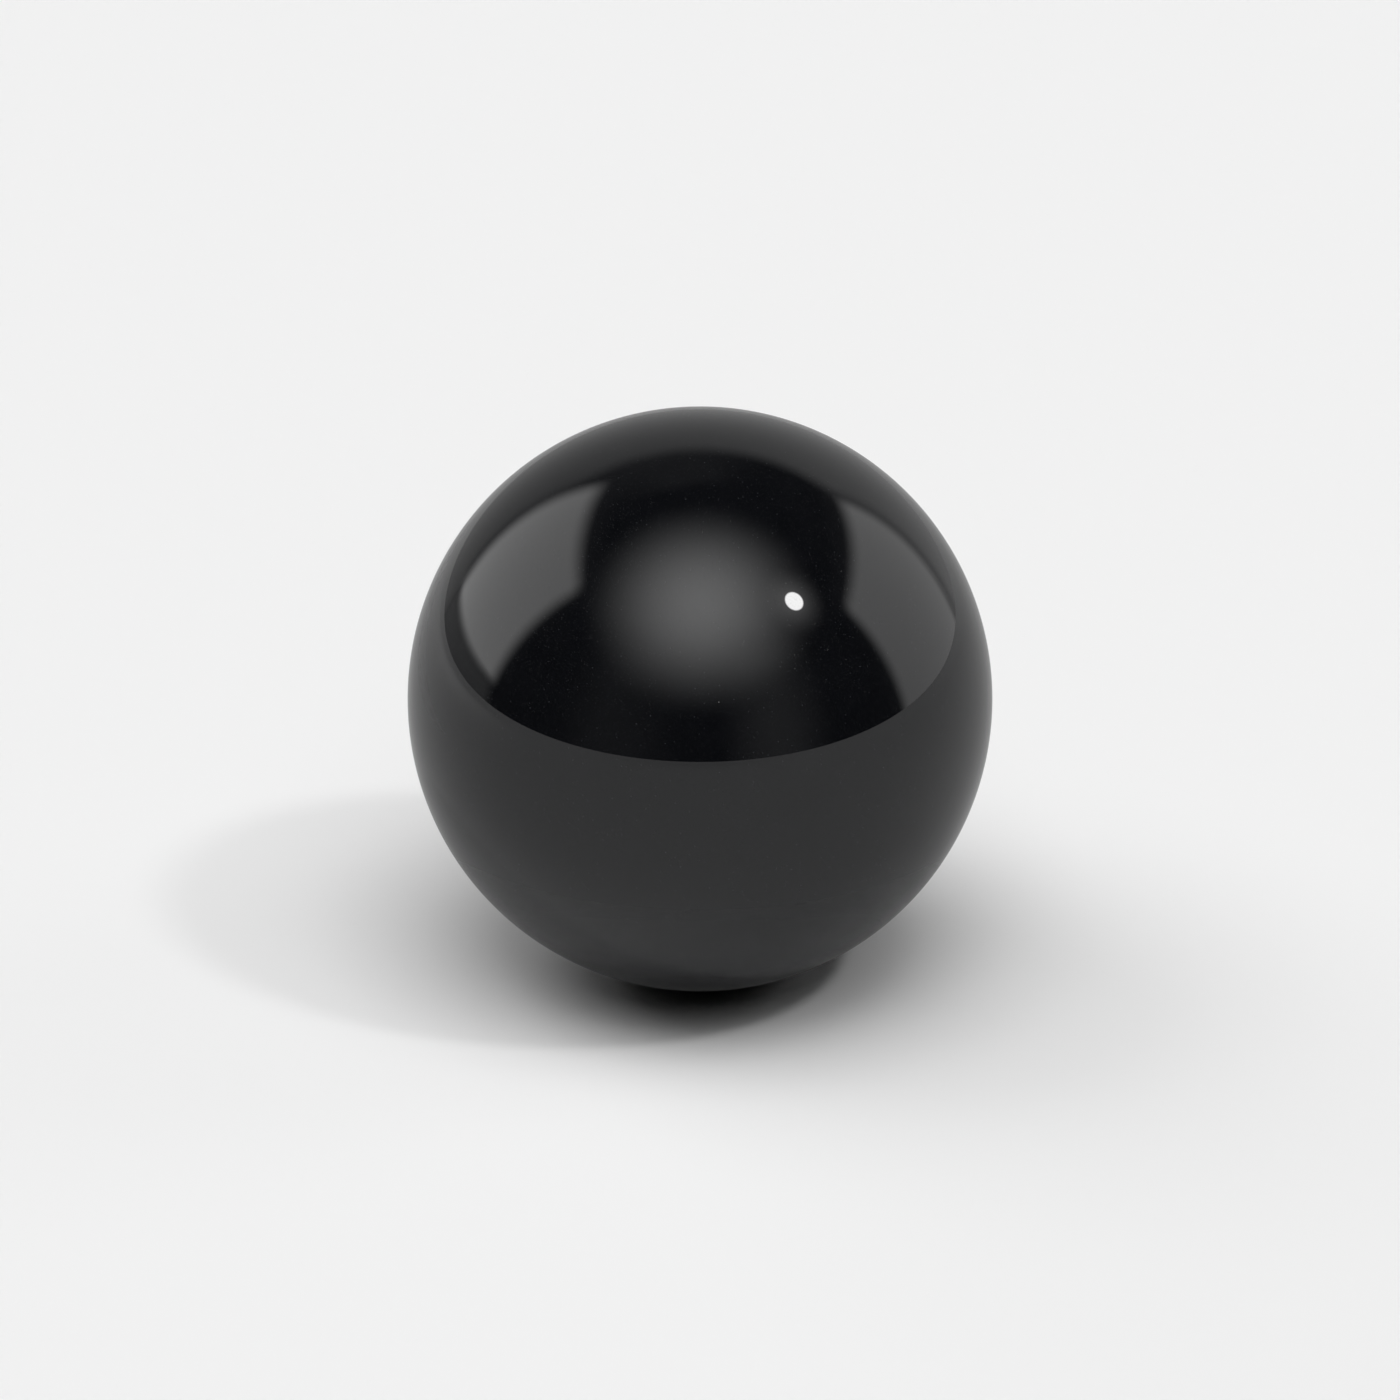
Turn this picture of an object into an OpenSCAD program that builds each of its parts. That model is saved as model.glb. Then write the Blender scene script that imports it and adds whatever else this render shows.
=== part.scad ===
/* [Ball] */
// Finished diameter, the same in every direction
ball_d = 25.4; // [4:0.1:60]

/* [Hidden] */

// The body colour all through: a near-black with a trace of blue
ceramic_black = "#0b0c0e";
// Facets round the equator in a preview; the finished solid is a true sphere
preview_facets = 144;

// One solid ball of dense black ceramic, ground and polished all over, centred on the origin.
// It has no seam, flat, bore or marking, so every direction through the centre is alike.
module ball() {
    color(ceramic_black)
        sphere(d = ball_d, $fn = preview_facets);
}

ball();
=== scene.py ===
"""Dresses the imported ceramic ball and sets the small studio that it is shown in.

All lengths are in metres. An azimuth of 0 looks from the ball towards the camera, which is on -Y,
and 90 looks towards +X. An elevation is measured up from the level. Both are in degrees.
"""

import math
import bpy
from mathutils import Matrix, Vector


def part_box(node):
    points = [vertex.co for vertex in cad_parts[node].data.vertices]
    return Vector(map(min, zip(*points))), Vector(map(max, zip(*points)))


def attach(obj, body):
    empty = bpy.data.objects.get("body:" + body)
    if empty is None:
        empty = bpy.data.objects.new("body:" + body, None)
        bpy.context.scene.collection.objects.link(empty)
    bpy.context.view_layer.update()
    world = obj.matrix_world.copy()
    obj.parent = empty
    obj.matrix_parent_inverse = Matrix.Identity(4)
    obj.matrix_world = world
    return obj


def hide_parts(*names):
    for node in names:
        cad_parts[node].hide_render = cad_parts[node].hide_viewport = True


bl_info = {
    "name": "Ceramic Ball",
    "version": (1, 0, 0),
    "blender": (4, 5, 0),
    "location": "3D View > Sidebar > Ceramic Ball",
    "description": "Makes a polished black ceramic ball and the studio around it",
    "category": "Add Mesh",
}

import bmesh
import bpy
from bpy.props import FloatProperty, FloatVectorProperty, IntProperty, PointerProperty
from mathutils import Matrix, Vector

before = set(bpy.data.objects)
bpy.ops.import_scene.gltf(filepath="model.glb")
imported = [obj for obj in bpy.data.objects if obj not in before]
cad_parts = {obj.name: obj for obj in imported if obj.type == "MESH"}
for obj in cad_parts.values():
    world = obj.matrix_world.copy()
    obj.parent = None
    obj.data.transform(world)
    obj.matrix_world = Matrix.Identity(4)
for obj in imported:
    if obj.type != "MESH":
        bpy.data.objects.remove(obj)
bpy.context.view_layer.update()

MM = 0.001
LOW, HIGH = [Vector(corner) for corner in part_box("ball")]
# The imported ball's poles are exact, while its sides are cut into facets, so the height is used.
CENTRE = Vector((0, 0, (LOW.z + HIGH.z) / 2))
RADIUS = (HIGH.z - LOW.z) / 2

# Far enough between two level sheets that neither shows through the other.
SHEET_GAP = 0.01 * MM

# How far the two round lamps reach from their middles, and where the key lamp's halo has died
# away, all in degrees as the ball sees them.
UMBRELLA_SPREAD = 47
KEY_SPREAD = 14.5
KEY_HALO_EDGE = 14.0

# The mix node's inputs and outputs share their names, so its colours are known by their places:
# i6 and i7 are the two that it mixes, and this is the one that it gives.
MIXED_COLOUR = 2


def linear(hex_colour):
    """Turns an sRGB hex colour into the linear values that a shader takes."""
    channels = [int(hex_colour[i:i + 2], 16) / 255 for i in (1, 3, 5)]
    return [c / 12.92 if c <= 0.04045 else ((c + 0.055) / 1.055) ** 2.4 for c in channels]


def opaque(colour):
    """Gives a linear colour the fourth value that colour sockets want."""
    return (colour[0], colour[1], colour[2], 1.0)


def towards(azimuth, elevation):
    """Unit vector from the ball's centre, for angles in degrees."""
    turn = math.radians(azimuth)
    rise = math.radians(elevation)
    return Vector((math.cos(rise) * math.sin(turn), -math.cos(rise) * math.cos(turn), math.sin(rise)))


def add_node(tree, kind, settings=None, **links):
    """Adds a node, sets its properties, and gives each input named in links a value or a link.

    A name has an underscore for each space in the input's own name. A name such as i1 stands for
    the input at that place in the node's list, which starts at i0.
    """
    node = tree.nodes.new(kind)
    for name, value in (settings or {}).items():
        setattr(node, name, value)
    for name, value in links.items():
        key = int(name[1:]) if name[1:].isdigit() else name.replace("_", " ")
        socket = node.inputs[key]
        if isinstance(value, bpy.types.NodeSocket):
            tree.links.new(value, socket)
        else:
            socket.default_value = value
    return node


def new_material(name):
    """Makes a material with an empty node tree, and gives both back."""
    material = bpy.data.materials.new(name)
    material.use_nodes = True
    material.node_tree.nodes.clear()
    return material, material.node_tree


def new_glow_material(name):
    """Makes one for a lamp or card that is only mirrored, so that no light is sought from it."""
    material, tree = new_material(name)
    material.cycles.emission_sampling = "NONE"
    return material, tree


def mesh_object(name, bm, material):
    """Makes an object at the origin from a bmesh, and frees the bmesh."""
    mesh = bpy.data.meshes.new(name)
    bm.to_mesh(mesh)
    bm.free()
    mesh.materials.append(material)
    obj = bpy.data.objects.new(name, mesh)
    bpy.context.scene.collection.objects.link(obj)
    return obj


def round_sheet(name, radius, place, material, segments=96):
    """A flat round sheet that faces +Z until the matrix in place turns and moves it."""
    bm = bmesh.new()
    bmesh.ops.create_circle(bm, cap_ends=True, segments=segments, radius=radius)
    bmesh.ops.transform(bm, verts=bm.verts, matrix=place)
    return mesh_object(name, bm, material)


# ---------------------------------------------------------------------------------------------
# Settings


class BallSettings(bpy.types.PropertyGroup):
    """Size and finish of the ball"""

    diameter: FloatProperty(
        name="Diameter",
        description="Finished diameter of the ball, taken from the packed model",
        default=2 * RADIUS,
        min=0.004,
        max=0.06,
        subtype="DISTANCE",
        unit="LENGTH",
    )
    rounds: IntProperty(
        name="Rounds",
        description="How fine the ball is: each round more splits every triangle into four",
        default=7,
        min=3,
        max=7,
    )
    body_colour: FloatVectorProperty(
        name="Body colour",
        description="Near-black of the fired body, seen where nothing bright is mirrored",
        default=linear("#08090c"),
        min=0,
        max=1,
        size=3,
        subtype="COLOR",
    )
    grain_colour: FloatVectorProperty(
        name="Grain colour",
        description="Slightly paler near-black of the denser grains",
        default=linear("#0b0c0f"),
        min=0,
        max=1,
        size=3,
        subtype="COLOR",
    )
    fleck_colour: FloatVectorProperty(
        name="Fleck colour",
        description="Dark grey of the palest of the fine flecks in the body",
        default=linear("#323437"),
        min=0,
        max=1,
        size=3,
        subtype="COLOR",
    )
    gloss: FloatProperty(
        name="Gloss",
        description="Share of a perfect polish that the lapped surface reaches",
        default=0.49,
        min=0,
        max=1,
        subtype="FACTOR",
    )


class StudioSettings(bpy.types.PropertyGroup):
    """Floor, lamps and camera"""

    floor_colour: FloatVectorProperty(
        name="Floor colour",
        description="Pale matt board that the ball lies on, and the backdrop beyond it",
        default=linear("#f1f1f1"),
        min=0,
        max=1,
        size=3,
        subtype="COLOR",
    )
    board_reach: FloatProperty(
        name="Board reach",
        description="Distance from the ball to the near edge of the board that the ball mirrors",
        default=40 * RADIUS,
        min=0.05,
        max=5,
        subtype="DISTANCE",
        unit="LENGTH",
    )
    room_reach: FloatProperty(
        name="Room reach",
        description="Distance from the ball to the lamps that it mirrors, with the cards beyond",
        default=200 * RADIUS,
        min=0.5,
        max=20,
        subtype="DISTANCE",
        unit="LENGTH",
    )
    lens: FloatProperty(
        name="Lens",
        description="Focal length of the camera, on a sensor 36 mm wide",
        default=118.8,
        min=20,
        max=400,
        unit="CAMERA",
    )
    camera_distance: FloatProperty(
        name="Camera distance",
        description="From the camera to the centre of the ball",
        default=15.83 * RADIUS,
        min=0.05,
        max=5,
        subtype="DISTANCE",
        unit="LENGTH",
    )
    camera_elevation: FloatProperty(
        name="Camera elevation",
        description="How far the camera looks down on the ball",
        default=math.radians(22.5),
        min=0,
        max=math.radians(89),
        subtype="ANGLE",
        unit="ROTATION",
    )


# ---------------------------------------------------------------------------------------------
# The ball


def pulled_grains(tree, place):
    """The skin's normals, tilted in tiny flat spots where a grain was pulled out in lapping.

    Real spots are a few thousandths of a millimetre across. They are drawn 0.016 mm across, which
    is fine enough that only the few that face a bright lamp show, as glints in the dark round it.
    """
    spacing = 0.06 * MM
    spot = 0.13
    steepest = 0.4
    cells = add_node(
        tree, "ShaderNodeTexVoronoi", {"feature": "F1"}, Vector=place, Scale=1 / spacing
    )
    inside = add_node(
        tree, "ShaderNodeMath", {"operation": "LESS_THAN"}, i0=cells.outputs["Distance"], i1=spot
    )
    # A cell's colour is three chances from 0 to 1, which become leanings to either side.
    leaning = add_node(
        tree,
        "ShaderNodeVectorMath",
        {"operation": "SUBTRACT"},
        i0=cells.outputs["Color"],
        i1=(0.5, 0.5, 0.5),
    )
    size = add_node(
        tree,
        "ShaderNodeMath",
        {"operation": "MULTIPLY"},
        i0=inside.outputs["Value"],
        i1=2 * steepest,
    )
    tilt = add_node(
        tree,
        "ShaderNodeVectorMath",
        {"operation": "SCALE"},
        i0=leaning.outputs["Vector"],
        Scale=size.outputs["Value"],
    )
    level = add_node(tree, "ShaderNodeNewGeometry")
    tilted = add_node(
        tree,
        "ShaderNodeVectorMath",
        {"operation": "ADD"},
        i0=level.outputs["Normal"],
        i1=tilt.outputs["Vector"],
    )
    unit = add_node(
        tree, "ShaderNodeVectorMath", {"operation": "NORMALIZE"}, i0=tilted.outputs["Vector"]
    )
    return unit.outputs["Vector"]


def pale_flecks(tree, place):
    """How much of the fleck colour shows: fine round flecks, most of them faint and a few clear.

    Real flecks are up to some 0.03 mm across. They are drawn up to 0.05 mm across, and 0.2 mm
    apart, so that the clearest of them still show where the ball mirrors nothing bright.
    """
    spacing = 0.2 * MM
    fleck = 0.13
    rarity = 3.0
    cells = add_node(
        tree, "ShaderNodeTexVoronoi", {"feature": "F1"}, Vector=place, Scale=1 / spacing
    )
    inside = add_node(
        tree, "ShaderNodeMath", {"operation": "LESS_THAN"}, i0=cells.outputs["Distance"], i1=fleck
    )
    chance = add_node(tree, "ShaderNodeSeparateColor", Color=cells.outputs["Color"])
    clearness = add_node(
        tree, "ShaderNodeMath", {"operation": "POWER"}, i0=chance.outputs["Red"], i1=rarity
    )
    amount = add_node(
        tree,
        "ShaderNodeMath",
        {"operation": "MULTIPLY"},
        i0=inside.outputs["Value"],
        i1=clearness.outputs["Value"],
    )
    return amount.outputs["Value"]


def polished_ceramic(settings):
    """Silicon nitride, hot pressed, then ground and lapped to a mirror.

    The dense body is nearly black, with faint mottling and a scatter of fine grey flecks. The
    lapped skin is a clear, sharp mirror with the high index of a ceramic, and its fine grain
    scatters about half of it away. What is left of the grain puts a faint sheen on the rim.
    """
    material, tree = new_material("lapped_black_silicon_nitride")
    place = add_node(tree, "ShaderNodeTexCoord").outputs["Object"]
    mottle_size = 1.6 * MM
    mottle = add_node(
        tree, "ShaderNodeTexNoise", Vector=place, Scale=1 / mottle_size, Detail=3.0, Roughness=0.6
    )
    # The noise seldom leaves this middle span, so the two colours are shared out over it.
    depth = add_node(
        tree, "ShaderNodeMapRange", Value=mottle.outputs["Fac"], From_Min=0.35, From_Max=0.65
    )
    body = add_node(
        tree,
        "ShaderNodeMix",
        {"data_type": "RGBA"},
        i0=depth.outputs["Result"],
        i6=opaque(settings.body_colour),
        i7=opaque(settings.grain_colour),
    )
    flecked = add_node(
        tree,
        "ShaderNodeMix",
        {"data_type": "RGBA"},
        i0=pale_flecks(tree, place),
        i6=body.outputs[MIXED_COLOUR],
        i7=opaque(settings.fleck_colour),
    )
    skin = add_node(
        tree,
        "ShaderNodeBsdfPrincipled",
        Base_Color=flecked.outputs[MIXED_COLOUR],
        Roughness=0.5,
        Specular_IOR_Level=0.0,
        Coat_Weight=settings.gloss,
        Coat_IOR=1.7,
        Coat_Roughness=0.01,
        Coat_Normal=pulled_grains(tree, place),
        Sheen_Weight=0.03,
        Sheen_Roughness=0.4,
    )
    add_node(tree, "ShaderNodeOutputMaterial", Surface=skin.outputs["BSDF"])
    return material


def make_ball(settings):
    """A true sphere, as fine as the export allows, because every fault would show in its mirror."""
    bm = bmesh.new()
    bmesh.ops.create_icosphere(bm, subdivisions=settings.rounds, radius=settings.diameter / 2)
    bmesh.ops.translate(bm, verts=bm.verts, vec=CENTRE)
    bmesh.ops.recalc_face_normals(bm, faces=bm.faces)
    for face in bm.faces:
        face.smooth = True
    ball = mesh_object("ball_polished", bm, polished_ceramic(settings))
    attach(ball, "root")
    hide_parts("ball")


# ---------------------------------------------------------------------------------------------
# The floor


def matt_board(name, colour):
    """Matt white board: all its light is scattered, so it takes a shadow and shows no gloss.

    A soft dark shade is painted on it where the ball rests, as hardly any light gets in there.
    """
    material, tree = new_material(name)
    place = add_node(tree, "ShaderNodeTexCoord").outputs["Object"]
    contact = Vector((CENTRE.x, CENTRE.y, LOW.z))
    offset = add_node(
        tree, "ShaderNodeVectorMath", {"operation": "SUBTRACT"}, i0=place, i1=tuple(contact)
    )

    # The deep middle of the shade is round, and keeps a little of the board's colour.
    middle_start = 0.19 * RADIUS
    middle_end = 0.36 * RADIUS
    middle_tone = 0.08
    away = add_node(
        tree, "ShaderNodeVectorMath", {"operation": "LENGTH"}, i0=offset.outputs["Vector"]
    )
    middle = add_node(
        tree,
        "ShaderNodeMapRange",
        {"interpolation_type": "SMOOTHSTEP"},
        Value=away.outputs["Value"],
        From_Min=middle_start,
        From_Max=middle_end,
        To_Min=middle_tone,
    )

    # The faint fringe round it is squeezed from side to side.
    fringe_start = 0.36 * RADIUS
    fringe_end = 0.58 * RADIUS
    fringe_tone = 0.72
    squeeze = 1.8
    squeezed = add_node(
        tree,
        "ShaderNodeVectorMath",
        {"operation": "MULTIPLY"},
        i0=offset.outputs["Vector"],
        i1=(squeeze, 1, 1),
    )
    squeezed_away = add_node(
        tree, "ShaderNodeVectorMath", {"operation": "LENGTH"}, i0=squeezed.outputs["Vector"]
    )
    fringe = add_node(
        tree,
        "ShaderNodeMapRange",
        {"interpolation_type": "SMOOTHSTEP"},
        Value=squeezed_away.outputs["Value"],
        From_Min=fringe_start,
        From_Max=fringe_end,
        To_Min=fringe_tone,
    )

    tone = add_node(
        tree,
        "ShaderNodeMath",
        {"operation": "MULTIPLY"},
        i0=middle.outputs["Result"],
        i1=fringe.outputs["Result"],
    )
    shaded = add_node(
        tree,
        "ShaderNodeMix",
        {"data_type": "RGBA"},
        i0=tone.outputs["Value"],
        i6=(0, 0, 0, 1),
        i7=opaque(colour),
    )
    board = add_node(
        tree,
        "ShaderNodeBsdfPrincipled",
        Base_Color=shaded.outputs[MIXED_COLOUR],
        Roughness=1.0,
        Specular_IOR_Level=0.0,
    )
    add_node(tree, "ShaderNodeOutputMaterial", Surface=board.outputs["BSDF"])
    return material


def level_board(name, reach, height, material, stretch=1.0):
    """A level round board under the ball, which can be stretched from side to side."""
    lowered = Matrix.Translation((CENTRE.x, CENTRE.y, height))
    widened = Matrix.Diagonal((stretch, 1, 1, 1))
    obj = round_sheet(name, reach, lowered @ widened, material, segments=256)
    return obj


def make_floor(settings):
    """The board that the ball mirrors, and the floor round it that carries on out of sight."""
    material = matt_board("matt_board", settings.floor_colour)
    board_stretch = 1.5
    floor_reach = 250 * RADIUS
    level_board("board", settings.board_reach, LOW.z, material, board_stretch)
    floor = level_board("floor", floor_reach, LOW.z - SHEET_GAP, material)
    # The ball mirrors the board alone, so that the mirrored room starts at the board's edge.
    floor.visible_glossy = False


# ---------------------------------------------------------------------------------------------
# The room that the ball mirrors


def mirrored_only(obj):
    """Shows a lamp or card in the ball's mirror alone: it gives no light, shadow or other view."""
    obj.visible_camera = False
    obj.visible_diffuse = False
    obj.visible_transmission = False
    obj.visible_volume_scatter = False
    obj.visible_shadow = False


def glow(tree, strength, mask):
    """Light of a given strength where the mask is 1, and a clear view through where it is 0."""
    light = add_node(tree, "ShaderNodeEmission", Color=(1, 1, 1, 1), Strength=strength)
    clear = add_node(tree, "ShaderNodeBsdfTransparent")
    both = add_node(
        tree,
        "ShaderNodeMixShader",
        i0=mask,
        i1=clear.outputs["BSDF"],
        i2=light.outputs["Emission"],
    )
    add_node(tree, "ShaderNodeOutputMaterial", Surface=both.outputs["Shader"])


def added_glow(tree, strength):
    """Light that is added to whatever lies behind it."""
    light = add_node(tree, "ShaderNodeEmission", Color=(1, 1, 1, 1), Strength=strength)
    clear = add_node(tree, "ShaderNodeBsdfTransparent")
    both = add_node(
        tree, "ShaderNodeAddShader", i0=clear.outputs["BSDF"], i1=light.outputs["Emission"]
    )
    add_node(tree, "ShaderNodeOutputMaterial", Surface=both.outputs["Shader"])


def soft_edge(tree, along, low, high):
    """Rises from 0 to 1 over the low share of a card, and falls back over its high share."""
    sharpest = 0.001
    rise = add_node(
        tree,
        "ShaderNodeMapRange",
        {"interpolation_type": "SMOOTHSTEP"},
        Value=along,
        From_Max=max(low, sharpest),
    )
    fall = add_node(
        tree,
        "ShaderNodeMapRange",
        {"interpolation_type": "SMOOTHSTEP"},
        Value=along,
        From_Min=1.0,
        From_Max=1.0 - max(high, sharpest),
    )
    both = add_node(
        tree,
        "ShaderNodeMath",
        {"operation": "MULTIPLY"},
        i0=rise.outputs["Result"],
        i1=fall.outputs["Result"],
    )
    return both.outputs["Value"]


def card(name, middle, across, up, bottom, top, sides, foot, head, tilt=1.0, cover=1.0):
    """A flat lit card, given by its middle and the two half edges, in metres.

    bottom and top are its brightness there. tilt is how bright the side that across points to is,
    as a share of the other side. sides, foot and head are the shares of it that fade out, and
    cover is the share that it hides of what is behind it.
    """
    material, tree = new_glow_material(name)
    uv = add_node(tree, "ShaderNodeUVMap", {"uv_map": "UVMap"})
    split = add_node(tree, "ShaderNodeSeparateXYZ", Vector=uv.outputs["UV"])
    level = add_node(
        tree, "ShaderNodeMapRange", Value=split.outputs["Y"], To_Min=bottom, To_Max=top
    )
    lean = add_node(
        tree, "ShaderNodeMapRange", Value=split.outputs["X"], To_Min=1.0, To_Max=tilt
    )
    strength = add_node(
        tree,
        "ShaderNodeMath",
        {"operation": "MULTIPLY"},
        i0=level.outputs["Result"],
        i1=lean.outputs["Result"],
    )
    shape = add_node(
        tree,
        "ShaderNodeMath",
        {"operation": "MULTIPLY"},
        i0=soft_edge(tree, split.outputs["X"], sides, sides),
        i1=soft_edge(tree, split.outputs["Y"], foot, head),
    )
    mask = add_node(
        tree, "ShaderNodeMath", {"operation": "MULTIPLY"}, i0=shape.outputs["Value"], i1=cover
    )
    glow(tree, strength.outputs["Value"], mask.outputs["Value"])

    bm = bmesh.new()
    bm.loops.layers.uv.new("UVMap")
    bmesh.ops.create_grid(bm, x_segments=1, y_segments=1, size=1.0, calc_uvs=True)
    facing = across.cross(up).normalized()
    turn = Matrix((across, up, facing)).transposed().to_4x4()
    bmesh.ops.transform(bm, verts=bm.verts, matrix=Matrix.Translation(middle) @ turn)
    mirrored_only(mesh_object(name, bm, material))


def softbox(name, azimuth, elevation, lean, side, reach, bottom, top, sides, foot, head, rim):
    """A square softbox that leans over the ball, with its side as a share of its distance.

    bottom and top are its brightness there. sides, foot and head are the shares of it that fade
    out, and rim is how bright the dark cloth round it is.
    """
    lean = math.radians(lean)
    level = towards(azimuth, 0)
    across = Vector((-level.y, level.x, 0))
    up = Vector((-level.x * math.sin(lean), -level.y * math.sin(lean), math.cos(lean)))
    edge = side * reach / 2
    middle = CENTRE + reach * towards(azimuth, elevation)
    # The fading strips are half lit, so the face is made larger to give the full side in light.
    wide = across * edge / (1 - sides)
    tall = up * edge / (1 - (foot + head) / 2)
    raised = middle + tall * (head - foot) / 2

    rim_step = 1.05
    rim_lift = 0.2
    rim_width = 1.27
    rim_height = 1.2
    card(
        name + "_rim",
        middle * rim_step + tall * rim_lift,
        wide * rim_width,
        tall * rim_height,
        bottom=rim,
        top=rim,
        sides=0.22,
        foot=0.16,
        head=0.25,
        cover=0.85,
    )
    card(name, raised, wide, tall, bottom, top, sides, foot, head)


def upright(name, azimuth, half_width, low, high, reach, bottom, top, sides, foot, head, **look):
    """A standing card that faces the ball: half_width, low and high are shares of its distance.

    look is for the card's tilt and cover, where it has them.
    """
    out = towards(azimuth, 0)
    across = Vector((-out.y, out.x, 0)) * half_width * reach
    up = Vector((0, 0, 1)) * (high - low) / 2 * reach
    middle = CENTRE + reach * out + Vector((0, 0, (high + low) / 2 * reach))
    card(name, middle, across, up, bottom, top, sides, foot, head, **look)


def round_lamp(name, azimuth, elevation, reach, spread, profile):
    """A round lamp whose brightness depends on the angle from its middle, out to its spread.

    profile takes the tree and that angle in degrees, and gives back the brightness there.
    """
    aim = towards(azimuth, elevation)
    material, tree = new_glow_material(name)
    place = add_node(tree, "ShaderNodeTexCoord").outputs["Object"]
    ray = add_node(tree, "ShaderNodeVectorMath", {"operation": "NORMALIZE"}, i0=place)
    likeness = add_node(
        tree,
        "ShaderNodeVectorMath",
        {"operation": "DOT_PRODUCT"},
        i0=ray.outputs["Vector"],
        i1=tuple(aim),
    )
    angle = add_node(
        tree, "ShaderNodeMath", {"operation": "ARCCOSINE"}, i0=likeness.outputs["Value"]
    )
    degrees = add_node(
        tree, "ShaderNodeMath", {"operation": "DEGREES"}, i0=angle.outputs["Value"]
    )
    added_glow(tree, profile(tree, degrees.outputs["Value"]))

    turn = aim.to_track_quat("Z", "Y").to_matrix().to_4x4()
    place_there = Matrix.Translation(CENTRE + reach * aim) @ turn
    size = reach * math.tan(math.radians(spread))
    mirrored_only(round_sheet(name, size, place_there, material))


def umbrella_profile(tree, degrees):
    """Brightest in the middle and dying away smoothly, as on a large silk umbrella."""
    brightest = 3.44
    falloff = 2.3
    phase = add_node(
        tree,
        "ShaderNodeMath",
        {"operation": "MULTIPLY"},
        i0=degrees,
        i1=math.pi / 2 / UMBRELLA_SPREAD,
    )
    wave = add_node(
        tree, "ShaderNodeMath", {"operation": "COSINE"}, i0=phase.outputs["Value"]
    )
    power = add_node(
        tree, "ShaderNodeMath", {"operation": "POWER"}, i0=wave.outputs["Value"], i1=falloff
    )
    strength = add_node(
        tree, "ShaderNodeMath", {"operation": "MULTIPLY"}, i0=power.outputs["Value"], i1=brightest
    )
    return strength.outputs["Value"]


def key_profile(tree, degrees):
    """A small bright face with a faint glow round it."""
    brightest = 26.0
    face_full = 3.05
    face_edge = 3.75
    halo_full = 3.3
    halo_share = 0.21
    falloff = 2.0
    face = add_node(
        tree,
        "ShaderNodeMapRange",
        {"interpolation_type": "SMOOTHSTEP"},
        Value=degrees,
        From_Min=face_edge,
        From_Max=face_full,
    )
    halo = add_node(
        tree,
        "ShaderNodeMapRange",
        Value=degrees,
        From_Min=KEY_HALO_EDGE,
        From_Max=halo_full,
        To_Max=halo_share,
    )
    halo_eased = add_node(
        tree, "ShaderNodeMath", {"operation": "POWER"}, i0=halo.outputs["Result"], i1=falloff
    )
    mask = add_node(
        tree,
        "ShaderNodeMath",
        {"operation": "MAXIMUM"},
        i0=face.outputs["Result"],
        i1=halo_eased.outputs["Value"],
    )
    strength = add_node(
        tree, "ShaderNodeMath", {"operation": "MULTIPLY"}, i0=mask.outputs["Value"], i1=brightest
    )
    return strength.outputs["Value"]


def canopy(reach):
    """The unlit studio beyond the lamps, which the ball mirrors as its dark parts."""
    dimness = 0.02
    material, tree = new_glow_material("black_canopy")
    dim = add_node(tree, "ShaderNodeEmission", Color=(1, 1, 1, 1), Strength=dimness)
    add_node(tree, "ShaderNodeOutputMaterial", Surface=dim.outputs["Emission"])
    bm = bmesh.new()
    bmesh.ops.create_icosphere(bm, subdivisions=4, radius=reach)
    bmesh.ops.reverse_faces(bm, faces=bm.faces)
    mirrored_only(mesh_object("black_canopy", bm, material))


def floor_patch(name, azimuth, distance, size, strength, cover):
    """A round glowing sheet just above the board, seen only in the ball's mirror, that paints light
    or shade onto the mirrored board.
    """
    middle = CENTRE + distance * towards(azimuth, 0)
    middle.z = LOW.z + SHEET_GAP
    material, tree = new_glow_material(name)
    place = add_node(tree, "ShaderNodeTexCoord").outputs["Object"]
    away = add_node(
        tree, "ShaderNodeVectorMath", {"operation": "DISTANCE"}, i0=place, i1=tuple(middle)
    )
    mask = add_node(
        tree,
        "ShaderNodeMapRange",
        {"interpolation_type": "SMOOTHSTEP"},
        Value=away.outputs["Value"],
        From_Min=size,
        From_Max=0.0,
        To_Max=cover,
    )
    glow(tree, strength, mask.outputs["Result"])
    mirrored_only(round_sheet(name, size, Matrix.Translation(middle), material))


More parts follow.
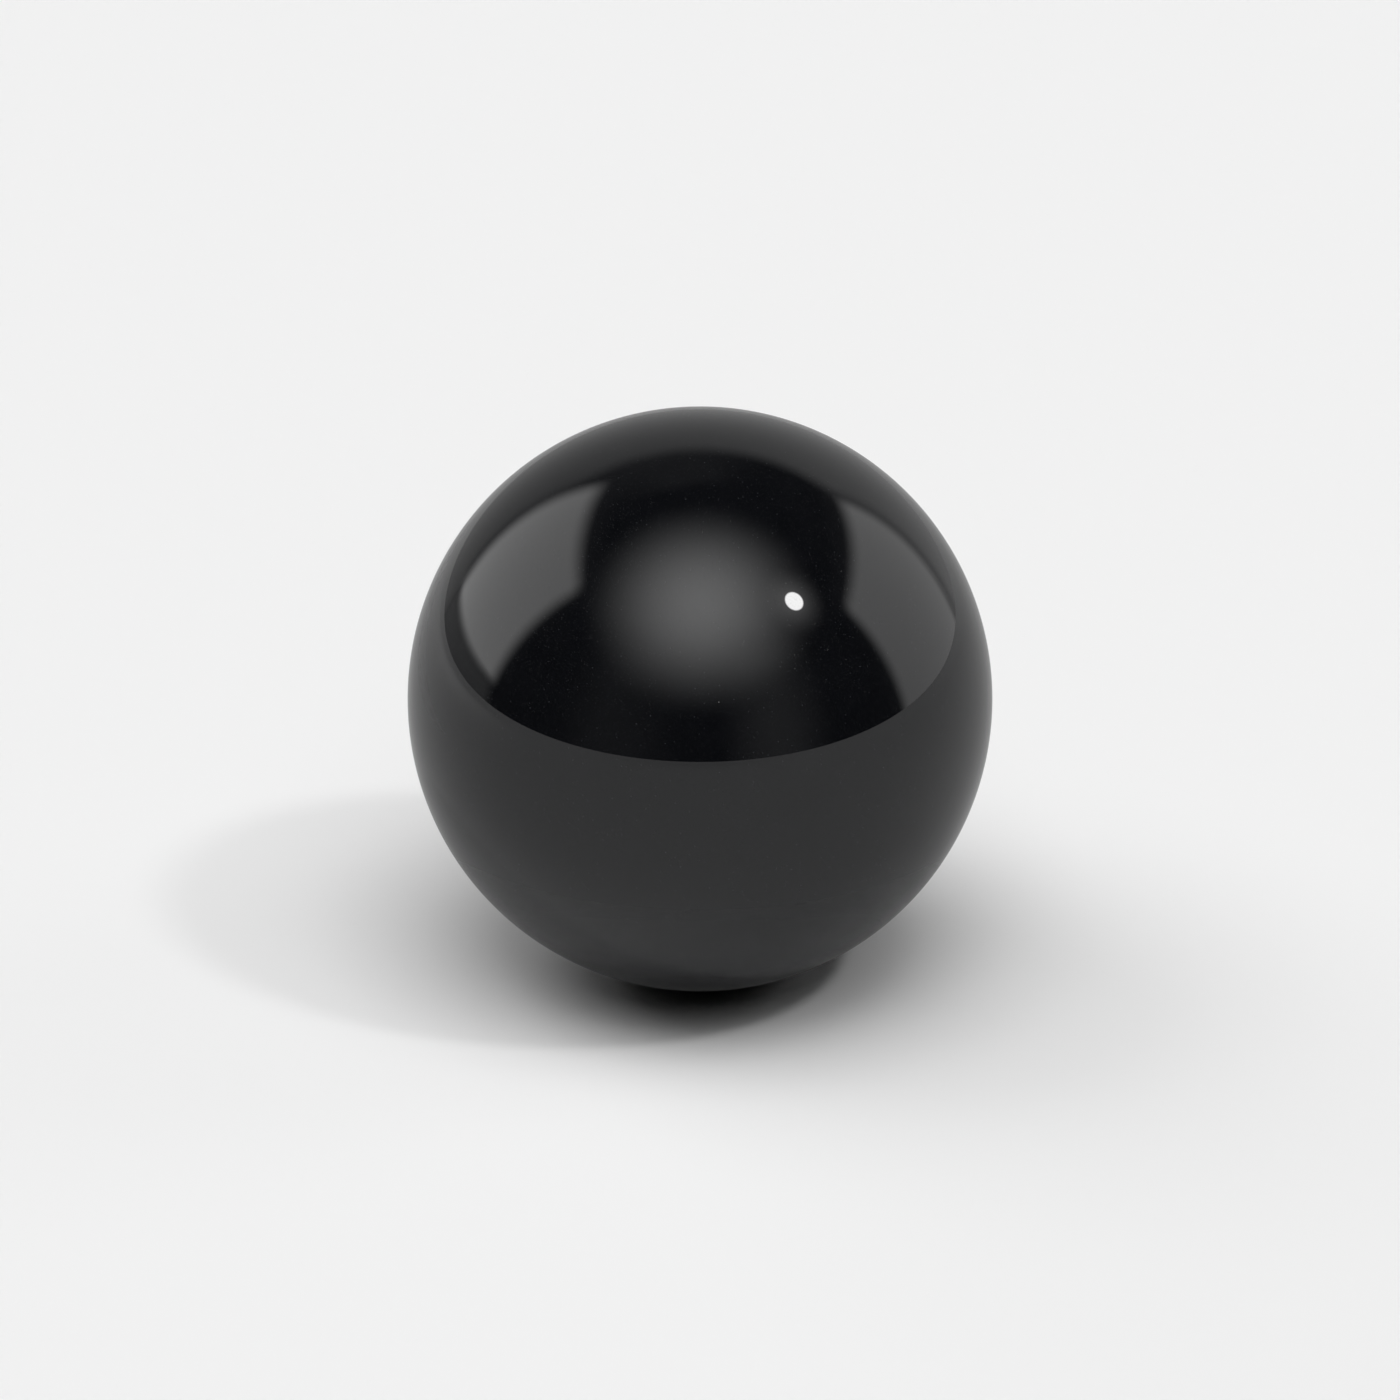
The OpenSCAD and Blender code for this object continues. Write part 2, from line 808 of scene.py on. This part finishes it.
def make_mirrored_room(settings):
    """What the ball mirrors: a dark studio with a lit wall, cards, softboxes and round lamps.

    The two softboxes, the umbrella and the key lamp stand nearest. The wall behind the ball has
    a glow low on it and a dim stretch above it, two dim cards stand in front, and a grey screen
    stands under the left softbox. The last four are painted light and shade: glowing sheets on the
    board that only the mirror sees.
    """
    near = settings.room_reach
    canopy(reach=12 * near)
    upright(
        "upper_back",
        azimuth=-167,
        half_width=0.85,
        low=0.7,
        high=2.6,
        reach=2.6 * near,
        bottom=0.11,
        top=0.11,
        sides=0.45,
        foot=0.1,
        head=0.4,
    )
    upright(
        "front_card_right",
        azimuth=30,
        half_width=0.46,
        low=-0.1,
        high=0.95,
        reach=2.4 * near,
        bottom=0.26,
        top=0.26,
        sides=0.5,
        foot=0.0,
        head=0.3,
    )
    upright(
        "front_card_left",
        azimuth=-33,
        half_width=0.55,
        low=-0.1,
        high=0.95,
        reach=2.4 * near,
        bottom=0.12,
        top=0.12,
        sides=0.5,
        foot=0.0,
        head=0.5,
    )
    upright(
        "back_wall",
        azimuth=180,
        half_width=1.08,
        low=-0.2,
        high=1.155,
        reach=1.6 * near,
        bottom=0.92,
        top=0.67,
        sides=0.02,
        foot=0.0,
        head=0.28,
        tilt=0.5,
    )
    upright(
        "wall_glow",
        azimuth=177,
        half_width=0.5,
        low=-0.2,
        high=0.7,
        reach=1.5 * near,
        bottom=0.92,
        top=0.75,
        sides=0.5,
        foot=0.0,
        head=0.7,
        cover=0.4,
    )
    upright(
        "left_screen",
        azimuth=-112.5,
        half_width=0.47,
        low=-0.1,
        high=0.14,
        reach=1.1 * near,
        bottom=0.28,
        top=0.44,
        sides=0.15,
        foot=0.0,
        head=0.4,
    )
    softbox(
        "left_softbox",
        azimuth=-110.8,
        elevation=27.3,
        lean=34,
        side=0.848,
        reach=near,
        bottom=2.5,
        top=2.3,
        sides=0.17,
        foot=0.12,
        head=0.16,
        rim=0.13,
    )
    softbox(
        "right_softbox",
        azimuth=109.1,
        elevation=15.0,
        lean=17,
        side=0.905,
        reach=near,
        bottom=1.33,
        top=2.0,
        sides=0.14,
        foot=0.12,
        head=0.14,
        rim=0.12,
    )
    round_lamp(
        "umbrella",
        azimuth=1,
        elevation=59.6,
        reach=near,
        spread=UMBRELLA_SPREAD,
        profile=umbrella_profile,
    )
    round_lamp(
        "key_lamp",
        azimuth=59.6,
        elevation=49.65,
        reach=0.9 * near,
        spread=KEY_SPREAD,
        profile=key_profile,
    )
    # Painted light: the mirrored board is brighter beside the left softbox.
    floor_patch(
        "painted_light_left", azimuth=-110, distance=17 * RADIUS, size=13 * RADIUS, strength=1.3, cover=0.8
    )
    # Painted shade: the mirrored board is darker far in front.
    floor_patch(
        "painted_shade_front", azimuth=0, distance=27 * RADIUS, size=19 * RADIUS, strength=0.5, cover=0.3
    )
    # Painted shade: the mirrored board is darker to the right and behind.
    floor_patch(
        "painted_shade_right", azimuth=125, distance=12 * RADIUS, size=15 * RADIUS, strength=0.5, cover=0.15
    )
    # Painted light: the mirrored board is lighter round the ball's foot.
    floor_patch(
        "painted_light_under_ball", azimuth=0, distance=0, size=1.2 * RADIUS, strength=1.0, cover=0.07
    )


# ---------------------------------------------------------------------------------------------
# The light and the camera


def soft_sun(name, azimuth, elevation, spread, share):
    """A distant lamp that gives the floor a share of its full light, and no mirror image.

    spread is how many degrees its light reaches to each side of its direction, which sets how
    soft the edge of its shadow is.
    """
    light = bpy.data.lights.new(name, "SUN")
    light.energy = math.pi * share / math.sin(math.radians(elevation))
    light.angle = math.radians(2 * spread)
    obj = bpy.data.objects.new(name, light)
    aim = towards(azimuth, elevation)
    obj.rotation_euler = aim.to_track_quat("Z", "Y").to_euler()
    # Its light comes from its direction alone, so this place only makes it easy to find.
    shown_at = 20 * RADIUS
    obj.location = CENTRE + shown_at * aim
    obj.visible_glossy = False
    bpy.context.scene.collection.objects.link(obj)


def make_light(settings):
    """Soft light whose shares add up to 1, at which the floor renders as its colour is written.

    The world beyond the floor gives no light. It only shows the floor's colour to the camera, to
    mirrors and through glass.
    """
    soft_sun("key_light", azimuth=60.5, elevation=50.4, spread=3.0, share=0.115)
    soft_sun("key_light_soft", azimuth=56.5, elevation=63.0, spread=12.0, share=0.057)
    soft_sun("left_light_high", azimuth=-80.0, elevation=57.5, spread=17.0, share=0.065)
    soft_sun("left_light", azimuth=-111.5, elevation=44.5, spread=20.0, share=0.109)
    soft_sun("left_light_low", azimuth=-146.0, elevation=6.5, spread=13.0, share=0.015)
    soft_sun("top_light_front", azimuth=10.0, elevation=57.0, spread=22.5, share=0.18)
    soft_sun("top_light", azimuth=-6.5, elevation=75.0, spread=22.0, share=0.275)
    soft_sun("top_light_wide", azimuth=-52.5, elevation=77.5, spread=36.5, share=0.158)
    soft_sun("right_light", azimuth=104.5, elevation=28.5, spread=13.0, share=0.026)
    world = bpy.data.worlds.new("studio")
    bpy.context.scene.world = world
    world.use_nodes = True
    tree = world.node_tree
    tree.nodes.clear()
    path = add_node(tree, "ShaderNodeLightPath")
    seen_or_mirrored = add_node(
        tree,
        "ShaderNodeMath",
        {"operation": "ADD"},
        i0=path.outputs["Is Camera Ray"],
        i1=path.outputs["Is Glossy Ray"],
    )
    shown = add_node(
        tree,
        "ShaderNodeMath",
        {"operation": "ADD", "use_clamp": True},
        i0=seen_or_mirrored.outputs["Value"],
        i1=path.outputs["Is Transmission Ray"],
    )
    pale = add_node(
        tree,
        "ShaderNodeBackground",
        Color=opaque(settings.floor_colour),
        Strength=shown.outputs["Value"],
    )
    add_node(tree, "ShaderNodeOutputWorld", Surface=pale.outputs["Background"])


def make_camera(settings):
    """A long lens, looking down on the ball from the front, and aimed a hair under its centre."""
    aim_drop = 0.0045 * RADIUS
    camera = bpy.data.cameras.new("camera")
    camera.lens = settings.lens
    camera.sensor_width = 36.0
    camera.clip_start = 0.01
    camera.clip_end = 20.0
    obj = bpy.data.objects.new("camera", camera)
    elevation = math.degrees(settings.camera_elevation)
    obj.location = CENTRE + settings.camera_distance * towards(0, elevation)
    aim = CENTRE - Vector((0, 0, aim_drop))
    obj.rotation_euler = (obj.location - aim).to_track_quat("Z", "Y").to_euler()
    bpy.context.scene.collection.objects.link(obj)
    bpy.context.scene.camera = obj


# ---------------------------------------------------------------------------------------------
# Operators and panel


class CERAMICBALL_OT_ball(bpy.types.Operator):
    """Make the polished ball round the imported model"""

    bl_idname = "ceramic_ball.ball"
    bl_label = "Polished Ball"

    def execute(self, context):
        make_ball(context.scene.ceramic_ball)
        return {"FINISHED"}


class CERAMICBALL_OT_stage(bpy.types.Operator):
    """Make the floor, the lamps, the mirrored room and the camera"""

    bl_idname = "ceramic_ball.stage"
    bl_label = "Studio"

    def execute(self, context):
        settings = context.scene.ceramic_ball_studio
        context.scene.view_settings.view_transform = "Standard"
        make_floor(settings)
        make_light(settings)
        make_mirrored_room(settings)
        make_camera(settings)
        return {"FINISHED"}


class CERAMICBALL_PT_panel(bpy.types.Panel):
    """Lists the ball, the studio and their settings"""

    bl_idname = "CERAMICBALL_PT_panel"
    bl_label = "Ceramic Ball"
    bl_space_type = "VIEW_3D"
    bl_region_type = "UI"
    bl_category = "Ceramic Ball"

    def draw(self, context):
        layout = self.layout
        for settings, operator in (
            (context.scene.ceramic_ball, CERAMICBALL_OT_ball),
            (context.scene.ceramic_ball_studio, CERAMICBALL_OT_stage),
        ):
            column = layout.column()
            for name in settings.__annotations__:
                column.prop(settings, name)
            column.operator(operator.bl_idname)


CLASSES = (
    BallSettings,
    StudioSettings,
    CERAMICBALL_OT_ball,
    CERAMICBALL_OT_stage,
    CERAMICBALL_PT_panel,
)


def register():
    for cls in CLASSES:
        bpy.utils.register_class(cls)
    bpy.types.Scene.ceramic_ball = PointerProperty(type=BallSettings)
    bpy.types.Scene.ceramic_ball_studio = PointerProperty(type=StudioSettings)


def unregister():
    del bpy.types.Scene.ceramic_ball_studio
    del bpy.types.Scene.ceramic_ball
    for cls in reversed(CLASSES):
        bpy.utils.unregister_class(cls)


def main():
    register()
    bpy.ops.ceramic_ball.ball()
    bpy.ops.ceramic_ball.stage()


if __name__ == "__main__":
    main()
